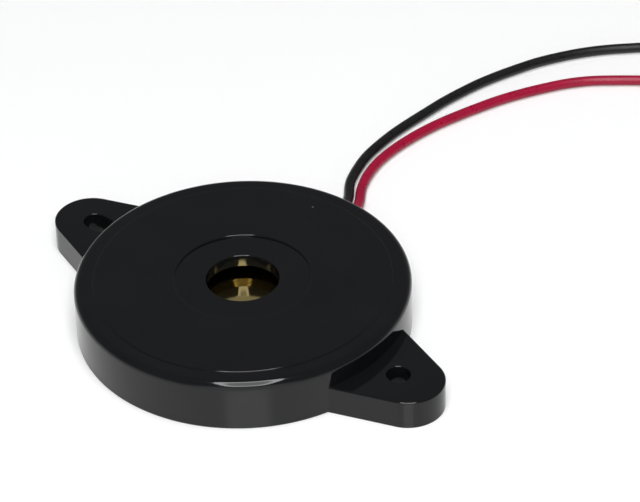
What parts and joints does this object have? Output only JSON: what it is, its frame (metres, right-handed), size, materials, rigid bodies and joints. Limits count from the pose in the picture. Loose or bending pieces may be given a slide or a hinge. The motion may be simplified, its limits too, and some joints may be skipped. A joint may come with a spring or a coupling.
{
  "type": "piezo element",
  "caption": "Round black piezo sounder with a central sound port over a brass disc, fixing ears at its base, and red and black flying leads.",
  "frame": {"origin": "middle of the mounting face, on the axis of the round body", "axes": "+Z the way the sound port faces, X through both ears with the round hole at +X, leads on the +Y side"},
  "size_m": [0.0565, 0.1028, 0.0056],
  "materials": {
    "housing_plastic": "semi-matt black moulding",
    "cover_plastic": "matt black",
    "brass": "rolled, fine parallel lines",
    "ceramic": "fired, silvered in the middle",
    "adhesive": "set glue",
    "solder": "bright solder",
    "tinned_copper": "tinned strands",
    "red_pvc": "satin PVC insulation",
    "black_pvc": "satin PVC insulation",
    "sealant": "set silicone"
  },
  "bodies": {
    "root": {"housing": "housing_plastic", "rear_cover": "cover_plastic", "brass_diaphragm": "brass", "ceramic_disc": "ceramic", "diaphragm_adhesive": "adhesive", "electrode_solder": "solder", "brass_solder": "solder", "red_conductor": "tinned_copper", "black_conductor": "tinned_copper", "red_lead_inside": "red_pvc", "black_lead_inside": "black_pvc", "lead_sealant": "sealant", "red_lead": "red_pvc", "black_lead": "black_pvc", "red_lead_coil": "red_pvc", "black_lead_coil": "black_pvc", "red_lead_tail": "red_pvc", "black_lead_tail": "black_pvc", "red_lead_tip": "tinned_copper", "black_lead_tip": "tinned_copper"}
  },
  "joints": []
}
